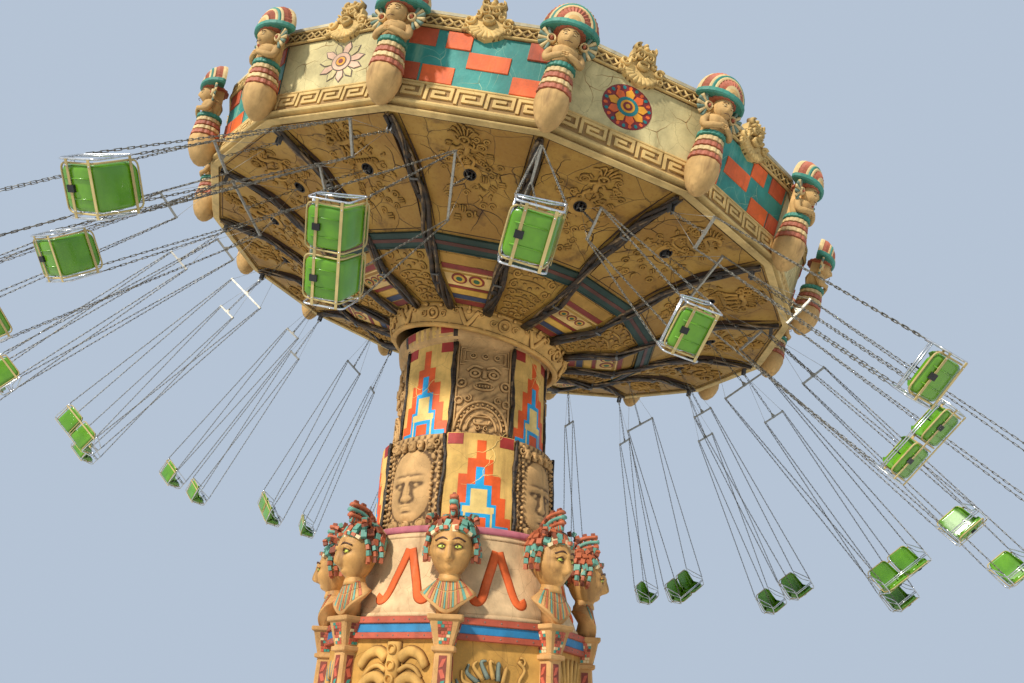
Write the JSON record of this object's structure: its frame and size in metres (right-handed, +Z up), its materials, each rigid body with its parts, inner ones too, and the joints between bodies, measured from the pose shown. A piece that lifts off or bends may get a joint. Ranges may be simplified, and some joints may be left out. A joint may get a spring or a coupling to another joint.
{
  "type": "chair swing ride",
  "caption": "Wave swinger fairground ride: chairs on chains hang from a tilting, turning canopy on a telescoping themed column.",
  "frame": {"origin": "on the floor under the middle of the column", "axes": "+Z up along the column, -Y towards the viewer in the picture, +X to the right"},
  "size_m": [19.3346, 19.4491, 13.4216],
  "materials": {
    "theme_ochre": "weathered ochre paint over moulded relief",
    "theme_sand": "stained cream render with fine cracks",
    "theme_stone": "tan stone-effect render with inlay strips",
    "theme_figure": "painted moulded figures, satin",
    "theme_cream": "cream stone-effect paint, matt",
    "root_bark": "dark brown root-effect cladding on steel ribs",
    "column_paint": "yellow panels with painted and moulded decoration",
    "dark_steel": "dark grey paint on steel",
    "seat_green": "glossy green moulded seats on cream and galvanised steel",
    "roof_canvas": "pale coated cloth over steel"
  },
  "bodies": {
    "base": {"plinth_wall": "theme_ochre", "skirt": "theme_sand", "pillar_01": "theme_stone", "pillar_02": "theme_stone", "pillar_03": "theme_stone", "pillar_04": "theme_stone", "pillar_05": "theme_stone", "pillar_06": "theme_stone", "pillar_07": "theme_stone", "pillar_08": "theme_stone", "bust_01": "theme_figure", "bust_02": "theme_figure", "bust_03": "theme_figure", "bust_04": "theme_figure", "bust_05": "theme_figure", "bust_06": "theme_figure", "bust_07": "theme_figure", "bust_08": "theme_figure"},
    "lower_stage": {"column_lower": "column_paint"},
    "upper_stage": {"column_upper": "column_paint"},
    "tilting_head": {"tilt_head": "dark_steel"},
    "canopy": {"hub_collar": "theme_ochre", "soffit": "theme_ochre", "soffit_ribs": "root_bark", "canopy_frame": "dark_steel", "rim_fascia": "theme_cream", "corner_figures": "theme_figure", "roof": "roof_canvas"},
    "outer_swing_01": {"outer_swing_01": "seat_green"},
    "outer_swing_02": {"outer_swing_02": "seat_green"},
    "outer_swing_03": {"outer_swing_03": "seat_green"},
    "outer_swing_04": {"outer_swing_04": "seat_green"},
    "outer_swing_05": {"outer_swing_05": "seat_green"},
    "outer_swing_06": {"outer_swing_06": "seat_green"},
    "outer_swing_07": {"outer_swing_07": "seat_green"},
    "outer_swing_08": {"outer_swing_08": "seat_green"},
    "outer_swing_09": {"outer_swing_09": "seat_green"},
    "outer_swing_10": {"outer_swing_10": "seat_green"},
    "outer_swing_11": {"outer_swing_11": "seat_green"},
    "outer_swing_12": {"outer_swing_12": "seat_green"},
    "outer_swing_13": {"outer_swing_13": "seat_green"},
    "outer_swing_14": {"outer_swing_14": "seat_green"},
    "outer_swing_15": {"outer_swing_15": "seat_green"},
    "outer_swing_16": {"outer_swing_16": "seat_green"},
    "inner_swing_01": {"inner_swing_01": "seat_green"},
    "inner_swing_02": {"inner_swing_02": "seat_green"},
    "inner_swing_03": {"inner_swing_03": "seat_green"},
    "inner_swing_04": {"inner_swing_04": "seat_green"},
    "inner_swing_05": {"inner_swing_05": "seat_green"},
    "inner_swing_06": {"inner_swing_06": "seat_green"},
    "inner_swing_07": {"inner_swing_07": "seat_green"},
    "inner_swing_08": {"inner_swing_08": "seat_green"},
    "inner_swing_09": {"inner_swing_09": "seat_green"},
    "inner_swing_10": {"inner_swing_10": "seat_green"},
    "inner_swing_11": {"inner_swing_11": "seat_green"},
    "inner_swing_12": {"inner_swing_12": "seat_green"},
    "inner_swing_13": {"inner_swing_13": "seat_green"},
    "inner_swing_14": {"inner_swing_14": "seat_green"},
    "inner_swing_15": {"inner_swing_15": "seat_green"},
    "inner_swing_16": {"inner_swing_16": "seat_green"}
  },
  "joints": [
    {"name": "lower_lift", "type": "slide", "parent": "base", "child": "lower_stage", "axis": [0, 0, 1], "range_m": [-1.75, 0]},
    {"name": "upper_lift", "type": "slide", "parent": "lower_stage", "child": "upper_stage", "axis": [0, 0, 1], "range_m": [-1.75, 0]},
    {"name": "canopy_tilt", "type": "hinge", "parent": "upper_stage", "child": "tilting_head", "pos_m": [0, 0, 8.74], "axis": [0.4924, 0.8704, 0], "range_deg": [-12, 3]},
    {"name": "canopy_spin", "type": "hinge", "parent": "tilting_head", "child": "canopy", "pos_m": [0, 0, 8.74], "axis": [0.181, -0.1024, 0.9781], "continuous": true},
    {"name": "outer_pivot_01", "type": "hinge", "parent": "canopy", "child": "outer_swing_01", "pos_m": [0.70714, -5.96652, 9.2626], "axis": [-0.9801, -0.1012, 0.1707], "range_deg": [-49.54, 10.46]},
    {"name": "outer_pivot_02", "type": "hinge", "parent": "canopy", "child": "outer_swing_02", "pos_m": [2.88345, -5.29358, 8.93042], "axis": [-0.8743, -0.4722, 0.1123], "range_deg": [-50.92, 9.08]},
    {"name": "outer_pivot_03", "type": "hinge", "parent": "canopy", "child": "outer_swing_03", "pos_m": [4.65521, -3.83422, 8.75539], "axis": [-0.6354, -0.7713, 0.0368], "range_deg": [-50.57, 9.43]},
    {"name": "outer_pivot_04", "type": "hinge", "parent": "canopy", "child": "outer_swing_04", "pos_m": [5.7527, -1.81062, 8.76416], "axis": [-0.2998, -0.953, -0.0443], "range_deg": [-48.52, 11.48]},
    {"name": "outer_pivot_05", "type": "hinge", "parent": "canopy", "child": "outer_swing_05", "pos_m": [6.00883, 0.46914, 8.9554], "axis": [0.0815, -0.9896, -0.1187], "range_deg": [-45.11, 14.89]},
    {"name": "outer_pivot_06", "type": "hinge", "parent": "canopy", "child": "outer_swing_06", "pos_m": [5.3846, 2.658, 9.29998], "axis": [0.4504, -0.8755, -0.175], "range_deg": [-40.84, 19.16]},
    {"name": "outer_pivot_07", "type": "hinge", "parent": "canopy", "child": "outer_swing_07", "pos_m": [3.97505, 4.42272, 9.74546], "axis": [0.7507, -0.6282, -0.2046], "range_deg": [-36.37, 23.63]},
    {"name": "outer_pivot_08", "type": "hinge", "parent": "canopy", "child": "outer_swing_08", "pos_m": [1.99478, 5.49464, 10.224], "axis": [0.9367, -0.2852, -0.2031], "range_deg": [-32.37, 27.63]},
    {"name": "outer_pivot_09", "type": "hinge", "parent": "canopy", "child": "outer_swing_09", "pos_m": [-0.25475, 5.71057, 10.66277], "axis": [0.9801, 0.1012, -0.1707], "range_deg": [-29.46, 30.54]},
    {"name": "outer_pivot_10", "type": "hinge", "parent": "canopy", "child": "outer_swing_10", "pos_m": [-2.43106, 5.03763, 10.99495], "axis": [0.8743, 0.4722, -0.1123], "range_deg": [-28.08, 31.92]},
    {"name": "outer_pivot_11", "type": "hinge", "parent": "canopy", "child": "outer_swing_11", "pos_m": [-4.20282, 3.57827, 11.16998], "axis": [0.6354, 0.7713, -0.0368], "range_deg": [-28.43, 31.57]},
    {"name": "outer_pivot_12", "type": "hinge", "parent": "canopy", "child": "outer_swing_12", "pos_m": [-5.30031, 1.55467, 11.16121], "axis": [0.2998, 0.953, 0.0443], "range_deg": [-30.48, 29.52]},
    {"name": "outer_pivot_13", "type": "hinge", "parent": "canopy", "child": "outer_swing_13", "pos_m": [-5.55643, -0.7251, 10.96997], "axis": [-0.0815, 0.9896, 0.1187], "range_deg": [-33.89, 26.11]},
    {"name": "outer_pivot_14", "type": "hinge", "parent": "canopy", "child": "outer_swing_14", "pos_m": [-4.93221, -2.91396, 10.62539], "axis": [-0.4504, 0.8755, 0.175], "range_deg": [-38.16, 21.84]},
    {"name": "outer_pivot_15", "type": "hinge", "parent": "canopy", "child": "outer_swing_15", "pos_m": [-3.52266, -4.67868, 10.17991], "axis": [-0.7507, 0.6282, 0.2046], "range_deg": [-42.63, 17.37]},
    {"name": "outer_pivot_16", "type": "hinge", "parent": "canopy", "child": "outer_swing_16", "pos_m": [-1.54239, -5.75059, 9.70136], "axis": [-0.9367, 0.2852, 0.2031], "range_deg": [-46.63, 13.37]},
    {"name": "inner_pivot_01", "type": "hinge", "parent": "canopy", "child": "inner_swing_01", "pos_m": [1.54043, -4.6991, 9.31267], "axis": [-0.9454, -0.2923, 0.1443], "range_deg": [-50.44, 9.56]},
    {"name": "inner_pivot_02", "type": "hinge", "parent": "canopy", "child": "inner_swing_02", "pos_m": [3.17789, -3.81473, 9.1023], "axis": [-0.7696, -0.6339, 0.076], "range_deg": [-50.96, 9.04]},
    {"name": "inner_pivot_03", "type": "hinge", "parent": "canopy", "child": "inner_swing_03", "pos_m": [4.36791, -2.37018, 9.03335], "axis": [-0.4767, -0.879, -0.0038], "range_deg": [-49.74, 10.26]},
    {"name": "inner_pivot_04", "type": "hinge", "parent": "canopy", "child": "inner_swing_04", "pos_m": [4.92931, -0.58536, 9.1163], "axis": [-0.1113, -0.9903, -0.0831], "range_deg": [-46.96, 13.04]},
    {"name": "inner_pivot_05", "type": "hinge", "parent": "canopy", "child": "inner_swing_05", "pos_m": [4.77665, 1.26799, 9.33853], "axis": [0.2712, -0.9508, -0.1497], "range_deg": [-43.04, 16.96]},
    {"name": "inner_pivot_06", "type": "hinge", "parent": "canopy", "child": "inner_swing_06", "pos_m": [3.93314, 2.90774, 9.66621], "axis": [0.6123, -0.7666, -0.1935], "range_deg": [-38.59, 21.41]},
    {"name": "inner_pivot_07", "type": "hinge", "parent": "canopy", "child": "inner_swing_07", "pos_m": [2.52722, 4.08423, 10.04944], "axis": [0.8602, -0.4656, -0.2079], "range_deg": [-34.27, 25.73]},
    {"name": "inner_pivot_08", "type": "hinge", "parent": "canopy", "child": "inner_swing_08", "pos_m": [0.77291, 4.61836, 10.4299], "axis": [0.9772, -0.0938, -0.1906], "range_deg": [-30.75, 29.25]},
    {"name": "inner_pivot_09", "type": "hinge", "parent": "canopy", "child": "inner_swing_09", "pos_m": [-1.0627, 4.42882, 10.74964], "axis": [0.9454, 0.2923, -0.1443], "range_deg": [-28.56, 31.44]},
    {"name": "inner_pivot_10", "type": "hinge", "parent": "canopy", "child": "inner_swing_10", "pos_m": [-2.70016, 3.54445, 10.96001], "axis": [0.7696, 0.6339, -0.076], "range_deg": [-28.04, 31.96]},
    {"name": "inner_pivot_11", "type": "hinge", "parent": "canopy", "child": "inner_swing_11", "pos_m": [-3.89018, 2.0999, 11.02896], "axis": [0.4767, 0.879, 0.0038], "range_deg": [-29.26, 30.74]},
    {"name": "inner_pivot_12", "type": "hinge", "parent": "canopy", "child": "inner_swing_12", "pos_m": [-4.45159, 0.31508, 10.94601], "axis": [0.1113, 0.9903, 0.0831], "range_deg": [-32.04, 27.96]},
    {"name": "inner_pivot_13", "type": "hinge", "parent": "canopy", "child": "inner_swing_13", "pos_m": [-4.29892, -1.53828, 10.72378], "axis": [-0.2712, 0.9508, 0.1497], "range_deg": [-35.96, 24.04]},
    {"name": "inner_pivot_14", "type": "hinge", "parent": "canopy", "child": "inner_swing_14", "pos_m": [-3.45541, -3.17802, 10.3961], "axis": [-0.6123, 0.7666, 0.1935], "range_deg": [-40.41, 19.59]},
    {"name": "inner_pivot_15", "type": "hinge", "parent": "canopy", "child": "inner_swing_15", "pos_m": [-2.04949, -4.35452, 10.01287], "axis": [-0.8602, 0.4656, 0.2079], "range_deg": [-44.73, 15.27]},
    {"name": "inner_pivot_16", "type": "hinge", "parent": "canopy", "child": "inner_swing_16", "pos_m": [-0.29518, -4.88865, 9.63241], "axis": [-0.9772, 0.0938, 0.1906], "range_deg": [-48.25, 11.75]}
  ],
  "couplings": [
    {"joint": "upper_lift", "follows": "lower_lift", "ratio": 1}
  ]
}
